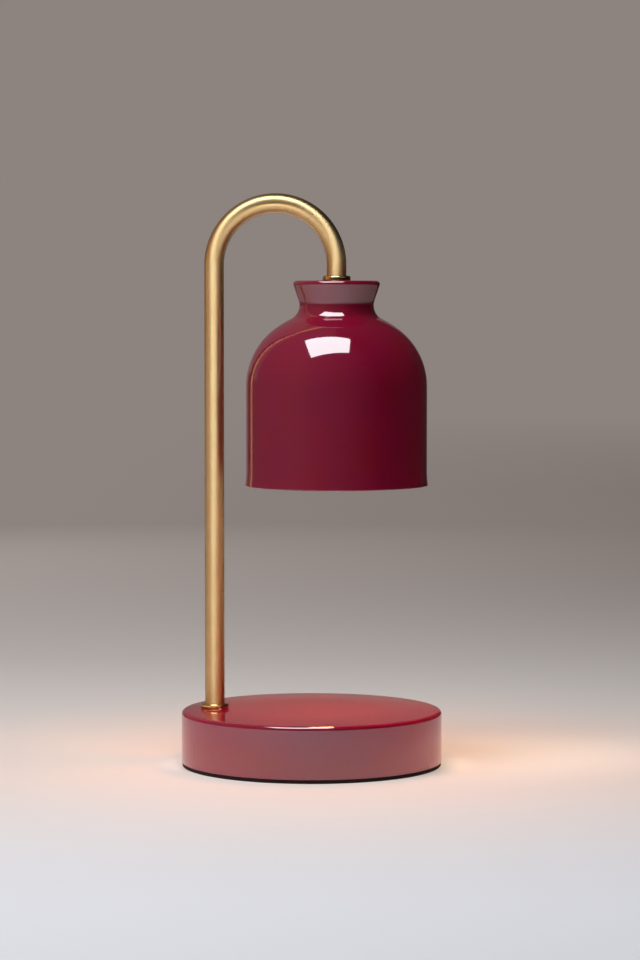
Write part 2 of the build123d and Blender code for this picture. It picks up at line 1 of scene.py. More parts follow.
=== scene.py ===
"""Candle warmer lamp: a round weighted base, a brass cane and a burgundy bell shade with a halogen bulb.

The lamp is made for a candle jar that stands on the base under the shade, and the bulb melts its wax from
above.
Each section below is one piece or one group of like pieces, in the order in which the lamp is put together.
Sizes are in millimetres, and mm turns them into the scene's metres.
"""

from math import atan, cos, degrees, pi, radians, sin, tan

import bmesh
import bpy
from mathutils import Matrix, Vector


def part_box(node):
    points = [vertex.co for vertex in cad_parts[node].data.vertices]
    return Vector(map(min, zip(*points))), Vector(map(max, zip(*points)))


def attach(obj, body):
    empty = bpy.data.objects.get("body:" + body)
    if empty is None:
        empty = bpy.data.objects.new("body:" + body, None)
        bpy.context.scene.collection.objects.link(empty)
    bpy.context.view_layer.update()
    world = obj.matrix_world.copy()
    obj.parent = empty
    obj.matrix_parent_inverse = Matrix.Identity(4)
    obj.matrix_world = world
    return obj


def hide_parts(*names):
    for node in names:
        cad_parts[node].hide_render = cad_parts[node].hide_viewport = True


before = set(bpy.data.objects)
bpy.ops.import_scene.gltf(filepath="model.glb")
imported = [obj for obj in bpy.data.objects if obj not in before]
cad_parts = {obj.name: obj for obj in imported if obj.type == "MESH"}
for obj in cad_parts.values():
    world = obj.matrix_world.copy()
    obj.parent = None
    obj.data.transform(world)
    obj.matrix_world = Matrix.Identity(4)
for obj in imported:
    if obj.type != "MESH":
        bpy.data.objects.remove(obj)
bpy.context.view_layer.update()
mm = 0.001


# ---- Camera ----
# It stands 1.75 m from the lamp, seven degrees to its right and a hand's breadth above the middle of it.
# The long lens keeps the base's ellipse flat and the shade's sides upright.
camera_turn = radians(7)
camera_distance = 1750 * mm
camera_height = 264 * mm
aim_height = 160 * mm
frame_shift = 4.7 * mm
lens_length, film_width = 117.5, 36
towards_camera = Vector((sin(camera_turn), -cos(camera_turn), 0))
picture_right = Vector((cos(camera_turn), sin(camera_turn), 0))
camera = bpy.data.objects.new("camera", bpy.data.cameras.new("camera"))
camera.data.lens, camera.data.sensor_width = lens_length, film_width
aim = picture_right * frame_shift + Vector((0, 0, aim_height))
camera.location = aim + towards_camera * camera_distance + Vector((0, 0, camera_height - aim_height))
camera.rotation_euler = (aim - camera.location).to_track_quat("-Z", "Y").to_euler()
bpy.context.scene.collection.objects.link(camera)
bpy.context.scene.camera = camera


# ---- Floor and backdrop ----
# Pale matt paper lies under the lamp and fades into the grey of the room behind it, with no line between.
# The room's grey is the world's own plain colour. Distances from the lamp's axis are in metres here.
# The second paper colour is painted warm light: the paper turns from a cool white in front to this warmer
# tint by the lamp, standing in for the bulb's light on it.
paper_colour, paper_colour_painted_warm = "#fbf9fd", "#f6ece4"
paper_turns = (-0.42, -0.04)  # both before the lamp: the paper's colour changes between them
# The first grey of the fade, which also glows faintly on the paper next to the lamp: painted light.
painted_glow_colour = "#ece4e2"
room_colour = "#8d837f"
room_colour_near, room_colour_right, room_colour_above = "#b6aeaa", "#7f7672", "#776f6c"
room_darkens = (5.5, 8)  # degrees up
paper_ends, room_begins = 0.2, 1.4
# The least share of the paper that glows, even beside the lamp: painted light that lifts the lamp's shadows
# on the paper.
least_painted_glow = 0.12
side_reach, side_pace = 0.6, 1.6  # past this reach the paper fades to every side, at this pace
floor_rings = (0.0, 0.2, 0.5, 1.0, 2.0, 4.0, 9.0)
floor_height = -0.05 * mm  # just clear of the foot pad


def linear(code):
    """The linear colour of an sRGB hex value."""
    parts = [int(code[i : i + 2], 16) / 255 for i in (1, 3, 5)]
    return (*[c / 12.92 if c <= 0.04045 else ((c + 0.055) / 1.055) ** 2.4 for c in parts], 1.0)


def add(tree, kind, sockets=None, **settings):
    """Add a node with its settings, and give each named or numbered input a value or a link."""
    made = tree.nodes.new(kind)
    for name, value in settings.items():
        setattr(made, name, value)
    for key, value in (sockets or {}).items():
        if isinstance(value, bpy.types.Node):
            value = value.outputs[0]
        if isinstance(value, bpy.types.NodeSocket):
            tree.links.new(value, made.inputs[key])
        else:
            made.inputs[key].default_value = value
    return made


def start_material(name):
    """An empty material, its tree, and the point on the piece in metres."""
    made = bpy.data.materials.new(name)
    made.use_nodes = True
    made.node_tree.nodes.clear()
    return made, made.node_tree, add(made.node_tree, "ShaderNodeTexCoord").outputs["Object"]


def stage_piece(name, rows, material):
    """A surface of the studio from rows of points, outside the lamp."""
    form = bmesh.new()
    grid = [[form.verts.new(point) for point in row] for row in rows]
    for low, high in zip(grid, grid[1:]):
        for a, b, c, d in zip(low, low[1:], high[1:], high):
            form.faces.new((a, b, c, d))
    bmesh.ops.remove_doubles(form, verts=form.verts, dist=1e-6)
    made = bpy.data.objects.new(name, bpy.data.meshes.new(name))
    form.to_mesh(made.data)
    form.free()
    made.data.materials.append(material)
    bpy.context.scene.collection.objects.link(made)
    return made


paper, tree, point = start_material("paper, pale matt")
towards_back, towards_right = {0: point, 1: -towards_camera}, {0: point, 1: picture_right}
behind = add(tree, "ShaderNodeVectorMath", towards_back, operation="DOT_PRODUCT").outputs["Value"]
sideways = add(tree, "ShaderNodeVectorMath", towards_right, operation="DOT_PRODUCT").outputs["Value"]
reach = add(tree, "ShaderNodeVectorMath", {0: point}, operation="LENGTH").outputs["Value"]
past_reach = {0: reach, 1: side_pace, 2: -side_pace * side_reach}
around = add(tree, "ShaderNodeMath", past_reach, operation="MULTIPLY_ADD")
distance = add(tree, "ShaderNodeMath", {0: behind, 1: around}, operation="MAXIMUM")
# Even where the paper is nearest the lamp, this least share of it glows: painted light that lifts the
# lamp's shadows.
fade_ends = {"From Min": paper_ends, "From Max": room_begins, "To Min": least_painted_glow}
fade = add(tree, "ShaderNodeMapRange", {"Value": distance, **fade_ends})
# The grey that the paper fades into changes in steps, each between two distances along its way. By the lamp
# it starts as the colour of the painted glow.
grey = linear(painted_glow_colour)
for first, last, way, colour in (
    (0.1, 0.5, distance, room_colour_near),
    (0.5, 2.0, distance, room_colour),
    (-0.3, 0.5, sideways, room_colour_right),
    (3.0, 7.0, distance, room_colour),
):
    share = add(tree, "ShaderNodeMapRange", {"Value": way, "From Min": first, "From Max": last})
    grey = add(tree, "ShaderNodeMix", {0: share, 6: grey, 7: linear(colour)}, data_type="RGBA").outputs[2]
# Painted warm light: the paper's colour warms from the cool front colour to the second one as it nears the
# lamp.
turning_ends = {"From Min": paper_turns[0], "From Max": paper_turns[1]}
painted_warmth_share = add(tree, "ShaderNodeMapRange", {"Value": behind, **turning_ends})
ends = {6: linear(paper_colour), 7: linear(paper_colour_painted_warm)}
sheet = add(tree, "ShaderNodeMix", {0: painted_warmth_share, **ends}, data_type="RGBA").outputs[2]
near = add(tree, "ShaderNodeBsdfDiffuse", {"Color": sheet})
far = add(tree, "ShaderNodeEmission", {"Color": grey})
faded = add(tree, "ShaderNodeMixShader", {0: fade, 1: near, 2: far})
add(tree, "ShaderNodeOutputMaterial", {"Surface": faded})

ring_steps = [2 * pi * i / 96 for i in range(97)]
floor_rows = [[(r * cos(a), r * sin(a), floor_height) for a in ring_steps] for r in floor_rings]
floor = stage_piece("floor", floor_rows, paper)

world = bpy.data.worlds.new("grey room")
world.use_nodes = True
tree = world.node_tree
view = add(tree, "ShaderNodeTexCoord").outputs["Generated"]
upward = add(tree, "ShaderNodeSeparateXYZ", {0: view}).outputs["Z"]
from_height, to_height = (sin(radians(angle)) for angle in room_darkens)
above = add(tree, "ShaderNodeMapRange", {"Value": upward, "From Min": from_height, "From Max": to_height})
ends = {6: linear(room_colour), 7: linear(room_colour_above)}
grey = add(tree, "ShaderNodeMix", {0: above, **ends}, data_type="RGBA").outputs[2]
tree.links.new(grey, tree.nodes["Background"].inputs["Color"])
bpy.context.scene.world = world
bpy.context.scene.view_settings.view_transform = "Standard"


# ---- Studio light ----
# One large softbox hangs over the lamp and a little before it, tilted down to the right, and a weak panel
# fills from the front left. Dull cloth stands round the rest, out of the camera's sight, and keeps the
# gloss dark. Places are (right, nearer, up) as the camera sees them.
lamp_colour = "#f6faff"
softbox_size = (865, 610)
softbox_centre = (-85, 342, 1231)
softbox_faces = (0.439, -0.368, -0.819)
softbox_side = (0.899, 0.156, 0.411)
softbox_power = 11.8
fill_size = (900, 700)
fill_centre = (-960, 830, 580)
fill_aim_height = 200
fill_power = 4.9
tent_radius = 1.55  # metres
tent_half_turn = 155  # degrees each side of the camera, over which the cloth's grey changes
tent_left, tent_right = -122, 135  # degrees to the right, the ends of the cloth's full height
tent_back_bottom = 60  # degrees up, over the opening at the back
tent_stops = (0.0, 0.33, 0.44, 0.52, 0.6, 0.68, 1.0)  # shares of that turn, from left to right
tent_greys = (0.08, 0.1, 0.06, 0.045, 0.02, 0.0, 0.02)


def seen(right, nearer, up):
    """A direction or place given as the camera sees it."""
    return picture_right * right + towards_camera * nearer + Vector((0, 0, up))


def hang_light(name, centre, faces, side, size, power, colour=lamp_colour, receivers=None):
    """A rectangular lamp, out of the camera's sight, that lights all or only a collection of pieces."""
    backwards = -seen(*faces).normalized()
    upwards = backwards.cross(seen(*side)).normalized()
    lamp = bpy.data.lights.new(name, "AREA")
    lamp.shape = "RECTANGLE"
    lamp.size, lamp.size_y = (length * mm for length in size)
    lamp.energy = power
    lamp.color = linear(colour)[:3]
    hung = bpy.data.objects.new(name, lamp)
    turn = Matrix((upwards.cross(backwards), upwards, backwards)).transposed().to_4x4()
    hung.matrix_world = Matrix.Translation(seen(*centre) * mm) @ turn
    hung.visible_camera = False
    hung.light_linking.receiver_collection = receivers
    bpy.context.scene.collection.objects.link(hung)
    return hung


hang_light("softbox", softbox_centre, softbox_faces, softbox_side, softbox_size, softbox_power)
fill_faces = (-fill_centre[0], -fill_centre[1], fill_aim_height - fill_centre[2])
fill = hang_light("fill panel", fill_centre, fill_faces, (1, 1, 0), fill_size, fill_power)
fill.visible_glossy = False

cloth, tree, point = start_material("cloth, grey to black")
back_turn = {"Vector": point, "Angle": pi / 2 - camera_turn}
forward = add(tree, "ShaderNodeVectorRotate", back_turn, rotation_type="Z_AXIS")
round_lamp = add(tree, "ShaderNodeTexGradient", {"Vector": forward}, gradient_type="RADIAL")
half_share = tent_half_turn / 360
tent_ends = {"From Min": 0.5 - half_share, "From Max": 0.5 + half_share}
round_tent = add(tree, "ShaderNodeMapRange", {"Value": round_lamp, **tent_ends})
ramp = add(tree, "ShaderNodeValToRGB", {"Fac": round_tent})
while len(ramp.color_ramp.elements) < len(tent_greys):
    ramp.color_ramp.elements.new(0.5)
for stop, share, grey in zip(ramp.color_ramp.elements, tent_stops, tent_greys):
    stop.position = share
    stop.color = (grey, grey, grey, 1)
add(tree, "ShaderNodeOutputMaterial", {"Surface": add(tree, "ShaderNodeEmission", {"Color": ramp})})


def tent_point(turn, lift):
    """A point of the tent, in degrees to the right of the camera's side and above the floor."""
    level = seen(sin(radians(turn)), cos(radians(turn)), 0)
    return tent_radius * (level * cos(radians(lift)) + Vector((0, 0, sin(radians(lift)))))


# Each side of the tent spans two turns and two heights, all in degrees as seen from the lamp.
for name, first, last, bottom, top in (
    ("tent_front", tent_left, tent_right, 0, 90),
    ("tent_left", -tent_half_turn, tent_left, 0, 12),
    ("tent_right", tent_right, 165, 0, tent_back_bottom),
    ("tent_back", tent_right, 360 + tent_left, tent_back_bottom, 90),
):
    turns = [first + (last - first) * i / 40 for i in range(41)]
    lifts = [bottom + (top - bottom) * i / 18 for i in range(19)]
    cloth_side = stage_piece(name, [[tent_point(t, lift) for t in turns] for lift in lifts], cloth)
    cloth_side.visible_camera = False


# ---- Base: the enamelled pan ----
# A pan drawn from 1.2 mm steel sheet, with a rounded upper edge. It is powder coated in gloss burgundy,
# and the arm's foot and the cord's bush go through holes in its top and its back.
pan_r = 73.0
pan_wall = 1.2
pan_low, pan_high = (corner.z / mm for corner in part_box("base_cover"))
pan_edge_r = 2.2
pan_lip_r = 0.4
arm_hole_r = 5.15
bush_hole_r = 5.05
arm_drill, bush_drill = 8, 16  # the lengths of the cutters, half of each past the sheet's outside
arm_foot = sum(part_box("lower_collar"), Vector()).x / 2 / mm
inlet_height = sum(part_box("inlet_bush"), Vector()).z / 2 / mm
edge_crease = 25  # degrees, past which an edge shows sharp


def softened(corners, steps=8):
    """An outline of (radius, height) points. A third number rounds that corner to an arc."""
    outline = []
    for i, (radius, height, *rounding) in enumerate(corners):
        here = Vector((radius, height))
        if not rounding:
            outline.append(here)
            continue
        back = (Vector(corners[i - 1][:2]) - here).normalized()
        ahead = (Vector(corners[(i + 1) % len(corners)][:2]) - here).normalized()
        half = back.angle(ahead) / 2
        centre = here + (back + ahead).normalized() * rounding[0] / sin(half)
        run = rounding[0] / tan(half)
        first, last = here + back * run - centre, here + ahead * run - centre
        outline += [centre + first.slerp(last, k / steps) * rounding[0] for k in range(steps + 1)]
    return outline


def turned(name, outline, x=0.0, steps=240, crease=edge_crease):
    """A solid of revolution about the upright line at x, whose outline keeps the piece on its right.

    An outline that starts and ends on the axis is closed by poles, and any other is a ring.
    The UV map follows the turning: once round, and along the outline, in metres.
    """
    form = bmesh.new()
    chart = form.loops.layers.uv.new("turned")
    rings = []
    for radius, height in outline:
        angles = [2 * pi * j / steps for j in range(steps if radius > 0 else 1)]
        ring = [(x + radius * cos(a), radius * sin(a), height) for a in angles]
        rings.append([form.verts.new([size * mm for size in spot]) for spot in ring])
    pairs = list(zip(outline, rings))
    pairs += [] if outline[0][0] == 0 else [pairs[0]]
    length = 0.0
    girth = 2 * pi * max(radius for radius, height in outline) * mm
    for (start, low), (end, high) in zip(pairs, pairs[1:]):
        step = (Vector(end) - Vector(start)).length * mm
        for j in range(steps):
            k = (j + 1) % steps
            corners = [(low[j % len(low)], j, 0), (high[j % len(high)], j, step)]
            corners += [(high[k % len(high)], j + 1, step), (low[k % len(low)], j + 1, 0)]
            kept = [c for n, c in enumerate(corners) if c[0] not in [d[0] for d in corners[:n]]]
            face = form.faces.new([vert for vert, around, along in kept])
            for loop, (vert, around, along) in zip(face.loops, kept):
                loop[chart].uv = (girth * around / steps, length + along)
        length += step
    made = bpy.data.objects.new(name, bpy.data.meshes.new(name))
    form.to_mesh(made.data)
    form.free()
    made.data.shade_smooth()
    made.data.set_sharp_from_angle(angle=radians(crease))
    bpy.context.scene.collection.objects.link(made)
    return made


def settle(piece):
    """Turn a piece and its modifiers into one plain mesh."""
    whole = piece.evaluated_get(bpy.context.evaluated_depsgraph_get())
    mesh = bpy.data.meshes.new_from_object(whole)
    piece.modifiers.clear()
    piece.data = mesh


def relief(tree, point, size, depth, detail=2.0, over=None):
    """Random bumps of one size and depth in millimetres, laid over other bumps."""
    noise = add(tree, "ShaderNodeTexNoise", {"Vector": point, "Scale": 1 / (size * mm), "Detail": detail})
    sockets = {"Height": noise, "Distance": depth * mm, "Strength": 1.0}
    if over:
        sockets["Normal"] = over
    return add(tree, "ShaderNodeBump", sockets)


def mottled(tree, point, size, *colours, detail=2.0):
    """A colour that drifts between two hex values in patches of one size in millimetres."""
    noise = add(tree, "ShaderNodeTexNoise", {"Vector": point, "Scale": 1 / (size * mm), "Detail": detail})
    spread = add(tree, "ShaderNodeMapRange", {"Value": noise, "From Min": 0.3, "From Max": 0.7})
    ends = {6: linear(colours[0]), 7: linear(colours[1])}
    return add(tree, "ShaderNodeMix", {0: spread, **ends}, data_type="RGBA").outputs[2]


def end_material(tree, sockets):
    """Close a material with one Principled shader."""
    surface = add(tree, "ShaderNodeBsdfPrincipled", sockets)
    add(tree, "ShaderNodeOutputMaterial", {"Surface": surface})


def dress(material, *nodes):
    """Give CAD nodes a material, shown or hidden."""
    for name in nodes:
        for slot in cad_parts[name].material_slots:
            slot.material = material


def place(piece, material, slot, body, *nodes):
    """Give a finished piece its material, its body and the CAD nodes that it stands for."""
    if not piece.data.materials:
        piece.data.materials.append(material)
    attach(piece, body)
    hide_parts(*nodes)
    dress(material, *nodes)


# Gloss powder coat: a deep red body, drifting in hue alone, under a hard clear skin. The skin gives
# white-edged highlights, for which its IOR is above plain resin's, and the faint waviness of a sprayed
# film, in waves about 4 mm long and a thousandth of one deep.
enamel, tree, point = start_material("powder coat, gloss burgundy")
end_material(
    tree,
    {
        "Base Color": mottled(tree, point, 30, "#830f28", "#801032"),
        "Roughness": 0.05,
        "IOR": 2.06,
        "Normal": relief(tree, point, 4.0, 0.0012, detail=1.0),
    },
)

pan_outline = softened(
    [
        (0, pan_high),
        (pan_r / 2, pan_high),
        (pan_r, pan_high, pan_edge_r),
        (pan_r, pan_low, pan_lip_r),
        (pan_r - pan_wall, pan_low, pan_lip_r),
        (pan_r - pan_wall, pan_high - pan_wall, pan_edge_r - pan_wall),
        (0, pan_high - pan_wall),
    ],
    steps=12,
)
pan = turned("enamelled_pan", pan_outline, steps=288)


def drill(radius, length, placing):
    """A round cutter, upright from its own origin until it is placed."""
    cutter = turned("drill", [(0, length), (radius, length), (radius, 0), (0, 0)], steps=96)
    cutter.data.transform(placing)
    return cutter


def cut_holes(piece, *cutters):
    """Take the cutters out of a piece and out of the scene."""
    for cutter in cutters:
        hole = piece.modifiers.new("hole", "BOOLEAN")
        hole.operation = "DIFFERENCE"
        hole.object = cutter
    settle(piece)
    piece.data.set_sharp_from_angle(angle=radians(edge_crease))
    for cutter in cutters:
        bpy.data.objects.remove(cutter)


def shifted(x, y, z):
    """The placing that shifts a form by these millimetres."""
    return Matrix.Translation(Vector((x, y, z)) * mm)


to_the_back = Matrix.Rotation(-pi / 2, 4, "X")
cut_holes(
    pan,
    drill(arm_hole_r, arm_drill, shifted(arm_foot, 0, pan_high - arm_drill / 2)),
    drill(bush_hole_r, bush_drill, shifted(0, pan_r - bush_drill / 2, inlet_height) @ to_the_back),
)
place(pan, enamel, "enamel", "root", "base_cover")


# ---- Base: the foot pad ----
# A disc of closed-cell EVA foam, die cut and glued under the steel plate. It keeps the lamp from sliding,
# and shows as a thin black line under the pan.
pad_r = 72.6
pad_t = 2.0
pad_edge_r = 0.3
foam_cell, foam_cell_depth = 0.45, 0.08

# Black EVA foam with a red cast: matt and slightly dusty, with cut cells about half a millimetre wide.
foam, tree, point = start_material("EVA foam, black")
cells = add(tree, "ShaderNodeTexVoronoi", {"Vector": point, "Scale": 1 / (foam_cell * mm)})
pores = add(tree, "ShaderNodeBump", {"Height": cells, "Distance": foam_cell_depth * mm, "Strength": 0.8})
end_material(
    tree,
    {
        "Base Color": mottled(tree, point, 4, "#220f11", "#2c1517"),
        "Roughness": 0.92,
        "Normal": relief(tree, point, 6, 0.03, over=pores),
        "Specular IOR Level": 0.25,
        "Sheen Weight": 0.05,
        "Sheen Roughness": 0.6,
    },
)
pad_outline = softened([(0, pad_t), (pad_r, pad_t, pad_edge_r), (pad_r, 0, pad_edge_r), (0, 0)], steps=4)
place(turned("foam_foot_pad", pad_outline), foam, "foot_pad", "root", "foot_pad")


# ---- Base: ballast, bottom plate, posts and screws ----
# A cast iron disc gives the lamp its weight. Four countersunk M4 screws draw it and the steel plate up
# against tapped posts, which are welded under the pan's top. All of it is closed in by the foot pad.

# Grey cast iron: dark, dull and sandy, as it leaves the mould.
iron, tree, point = start_material("grey cast iron, as cast")
end_material(
    tree,
    {
        "Base Color": mottled(tree, point, 5, "#3c3a39", "#57534f", detail=4.0),
        "Metallic": 0.85,
        "Roughness": 0.62,
        "Normal": relief(tree, point, 0.9, 0.12, detail=4.0),
    },
)
dress(iron, "base_weight")

# Zinc-plated steel: pale blue-grey, half dull, with soft clouds from the plating bath.
zinc, tree, point = start_material("steel, zinc plated")
end_material(
    tree,
    {
        "Base Color": mottled(tree, point, 3, "#b4b9bd", "#cdcdc8", detail=3.0),
        "Metallic": 1.0,
        "Roughness": 0.34,
        "Normal": relief(tree, point, 0.35, 0.006),
    },
)
dress(zinc, "base_plate", "base_screws", "cover_standoffs")


# ---- Arm: the cane ----
# An 11 mm brass tube, ground satin on a belt while it is straight, then bent through a half circle on a
# 34.5 mm former and lacquered. Both ends stand in collars.
cane_r = 5.5
cane_wall = 1.0
bend_radius = 34.5
collar_web = 1.0
cane_low, cane_top = (corner.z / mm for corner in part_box("arm_tube"))
shade_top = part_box("shade_shell")[1].z / mm
bend_start = cane_top - cane_r - bend_radius - cane_low
bend_end = bend_start + pi * bend_radius
cane_length = bend_end + cane_top - cane_r - bend_radius - (shade_top + collar_web)
bend_steps = 90
ring_gap, ring_depth = 0.3, 0.004
ring_draw = 0.06  # how much slower the belt's marks change round the tube than along it

# Satin brass under clear lacquer: the belt leaves fine rings round the tube, which draw each light out
# into a long bright streak. They are 0.3 mm apart, coarser than the real grit's, so that they show.
satin_brass, tree, point = start_material("brass, belt ground satin and lacquered")
tube_point = add(tree, "ShaderNodeAttribute", attribute_name="unbent").outputs["Vector"]
drawn_round = {0: tube_point, 1: (ring_draw, ring_draw, 1)}
squeeze = add(tree, "ShaderNodeVectorMath", drawn_round, operation="MULTIPLY")
scratch_sockets = {"Vector": squeeze, "Scale": 1 / (ring_gap * mm), "Detail": 3.0}
scratches = add(tree, "ShaderNodeTexNoise", scratch_sockets)
gloss = add(tree, "ShaderNodeMapRange", {"Value": scratches, "To Min": 0.46, "To Max": 0.54})
brushing = add(tree, "ShaderNodeBump", {"Height": scratches, "Distance": ring_depth * mm, "Strength": 1.0})
end_material(
    tree,
    {
        "Base Color": mottled(tree, tube_point, 14, "#f4d8a2", "#efd097"),
        "Metallic": 1.0,
        "Roughness": gloss,
        "Normal": brushing,
        "Anisotropic": 0.92,
        "Anisotropic Rotation": 0.25,
        "Tangent": add(tree, "ShaderNodeTangent", direction_type="UV_MAP", uv_map="turned"),
    },
)

bend_places = [bend_start + (bend_end - bend_start) * k / bend_steps for k in range(bend_steps + 1)]
tube_heights = [0.0, *bend_places, cane_length]
tube_outline = [(cane_r, height) for height in reversed(tube_heights)]
tube_outline += [(cane_r - cane_wall, height) for height in tube_heights]
cane = turned("brass_cane", tube_outline, steps=96)


def start_tree(name, *sizes):
    """A Geometry Nodes tree with a named input for each size. Returns it and the sockets by name."""
    made = bpy.data.node_groups.new(name, "GeometryNodeTree")
    for label, kind in (("Geometry", "NodeSocketGeometry"), *((size, "NodeSocketFloat") for size in sizes)):
        made.interface.new_socket(label, in_out="INPUT", socket_type=kind)
    made.interface.new_socket("Geometry", in_out="OUTPUT", socket_type="NodeSocketGeometry")
    return made, {socket.name: socket for socket in add(made, "NodeGroupInput").outputs if socket.name}


def work_out(tree, values, *steps):
    """Add a Math node for each (name, operation, terms) step. Terms are numbers or earlier names."""
    for name, operation, *terms in steps:
        inputs = dict(enumerate(values[term] if isinstance(term, str) else term for term in terms))
        values[name] = add(tree, "ShaderNodeMath", inputs, operation=operation).outputs[0]


def end_tree(tree, geometry, material):
    """Close a tree with real geometry in its material."""
    real = add(tree, "GeometryNodeRealizeInstances", {"Geometry": geometry})
    painted = add(tree, "GeometryNodeSetMaterial", {"Geometry": real, "Material": material})
    add(tree, "NodeGroupOutput", {0: painted})


def grow(piece, tree, sizes):
    """Run a tree on a piece with sizes by name, and keep the result as its mesh."""
    growth = piece.modifiers.new(tree.name, "NODES")
    growth.node_group = tree
    for socket in tree.interface.items_tree:
        if socket.in_out == "INPUT" and socket.name in sizes:
            growth[socket.identifier] = sizes[socket.name]
    settle(piece)


# The tree bends the straight tube as a former does: a slice at a height past the start of the bend turns
# by its run over the radius, and what is past the half circle goes straight down.
tree, values = start_tree("bend a tube", "Bend start", "Bend radius", "Foot X", "Foot height")
position = add(tree, "GeometryNodeInputPosition")
split = add(tree, "ShaderNodeSeparateXYZ", {0: position})
values.update(x=split.outputs["X"], y=split.outputs["Y"], s=split.outputs["Z"])
work_out(
    tree,
    values,
    ("past", "SUBTRACT", "s", "Bend start"),
    ("turn", "DIVIDE", "past", "Bend radius"),
    ("turn", "MAXIMUM", "turn", 0.0),
    ("turn", "MINIMUM", "turn", pi),
    ("level", "COSINE", "turn"),
    ("rise", "SINE", "turn"),
    ("arm", "SUBTRACT", "Bend radius", "x"),
    ("inward", "MULTIPLY", "arm", "level"),
    ("inward", "SUBTRACT", "Bend radius", "inward"),
    ("new x", "ADD", "inward", "Foot X"),
    ("lift", "MULTIPLY", "arm", "rise"),
    ("straight", "MINIMUM", "s", "Bend start"),
    ("half circle", "MULTIPLY", "Bend radius", pi),
    ("drop", "SUBTRACT", "past", "half circle"),
    ("drop", "MAXIMUM", "drop", 0.0),
    ("height", "SUBTRACT", "straight", "drop"),
    ("height", "ADD", "height", "lift"),
    ("new z", "ADD", "height", "Foot height"),
)
bent = add(tree, "ShaderNodeCombineXYZ", {"X": values["new x"], "Y": values["y"], "Z": values["new z"]})
marked = add(
    tree,
    "GeometryNodeStoreNamedAttribute",
    {"Geometry": values["Geometry"], "Name": "unbent", "Value": position},
    data_type="FLOAT_VECTOR",
)
moved = add(tree, "GeometryNodeSetPosition", {"Geometry": marked, "Position": bent})
end_tree(tree, moved, satin_brass)
bend_sizes = {
    "Bend start": bend_start,
    "Bend radius": bend_radius,
    "Foot X": arm_foot,
    "Foot height": cane_low,
}
grow(cane, tree, {name: size * mm for name, size in bend_sizes.items()})
place(cane, satin_brass, "satin_brass", "root", "arm_tube")


# ---- Arm: the two collars ----
# Turned brass rings that the tube's ends stand in, one on the base and one on the shade. The upper edge
# is rounded and mirror polished, so it shows as a bright line round the tube's foot.
collar_r = 7.85
collar_h = 2.8
collar_edge_r = 1.2
collar_foot_r = 0.4
collar_bore_r = 5.15
collar_seat_r = 5.65

# Polished brass: near mirror, with faint rings left by the lathe.
polished_brass, tree, point = start_material("brass, turned and polished")
turning = add(tree, "ShaderNodeUVMap", uv_map="turned")
rings = add(tree, "ShaderNodeVectorMath", {0: turning, 1: (0, 1, 0)}, operation="MULTIPLY")
end_material(
    tree,
    {
        "Base Color": mottled(tree, point, 5, "#e6c68c", "#dfbc7e"),
        "Metallic": 1.0,
        "Roughness": 0.16,
        "Normal": relief(tree, rings, 0.12, 0.0006),
    },
)
collar_section = [
    (collar_seat_r, collar_h),
    (collar_r, collar_h, collar_edge_r),
    (collar_r, 0, collar_foot_r),
    (collar_bore_r, 0),
    (collar_bore_r, collar_web),
    (collar_seat_r, collar_web),
]
collars = []
for name, node in (("collar_on_the_base", "lower_collar"), ("collar_on_the_shade", "upper_collar")):
    low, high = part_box(node)
    collar = turned(name, softened(collar_section), x=(low.x + high.x) / 2 / mm, steps=160)
    collar.data.transform(Matrix.Translation((0, 0, low.z)))
    collars.append(collar)
    place(collar, polished_brass, "polished_brass", "root", node)


# ---- Light on the brass ----
# Three panels that only the cane and its collars take, as round metal shows each bright wall: one over the
# front, one low in front like the lit paper, and a weak amber one on the left. Each has its centre, the way
# that it faces, the way that its width runs, its width and height, its power and its colour.


def group_of(name, *pieces):
    """A collection of pieces, for the lamps that light them alone."""
    group = bpy.data.collections.new(name)
    for piece in pieces:
        group.objects.link(piece)
    return group


brass_pieces = group_of("brass", cane, *collars)
for name, centre, faces, side, size, power, colour in (
    ("side panel", (30, 470, 670), (-60, -460, -520), (460, -60, 0), (2200, 460), 1.05, lamp_colour),
    ("low panel", (-150, 640, 15), (0, -0.2, 1), (1, 0, 0), (2200, 900), 12.3, "#fff0dc"),
    ("warm panel", (-960, 60, 520), (960, -60, -340), (60, 960, 0), (750, 1200), 1.2, "#ffa048"),
):
    hang_light(name, centre, faces, side, size, power, colour, brass_pieces)


# ---- Arm: nipples, washers and nuts ----
# A hollow M10 x 1 nipple is brazed into each end of the tube. A nut pulls it tight inside the base and
# inside the shade, over a toothed washer that bites the steel, and the wires run through it.
thread_pitch, thread_depth = 1.0, 0.3


def wave_scale(pitch):
    """The scale for a pitch in millimetres, as a wave texture's period is 2 pi over 20 scales."""
    return 2 * pi / 20 / (pitch * mm)


# Machined brass with an M10 x 1 thread: one ridge to the millimetre along the nipple.
threaded_brass, tree, point = start_material("brass, screw-cut thread")
screw_cut = {"Vector": point, "Scale": wave_scale(thread_pitch)}
ridges = add(tree, "ShaderNodeTexWave", screw_cut, bands_direction="Z")
cut = add(tree, "ShaderNodeBump", {"Height": ridges, "Distance": thread_depth * mm, "Strength": 0.7})
end_material(
    tree,
    {
        "Base Color": mottled(tree, point, 3, "#cfae72", "#bd9a5c"),
        "Metallic": 1.0,
        "Roughness": 0.3,
        "Normal": cut,
    },
)
dress(threaded_brass, "lower_nipple", "upper_nipple")
dress(zinc, "lower_flat_washer", "lower_star_washer", "lower_nut", "upper_star_washer", "upper_nut")


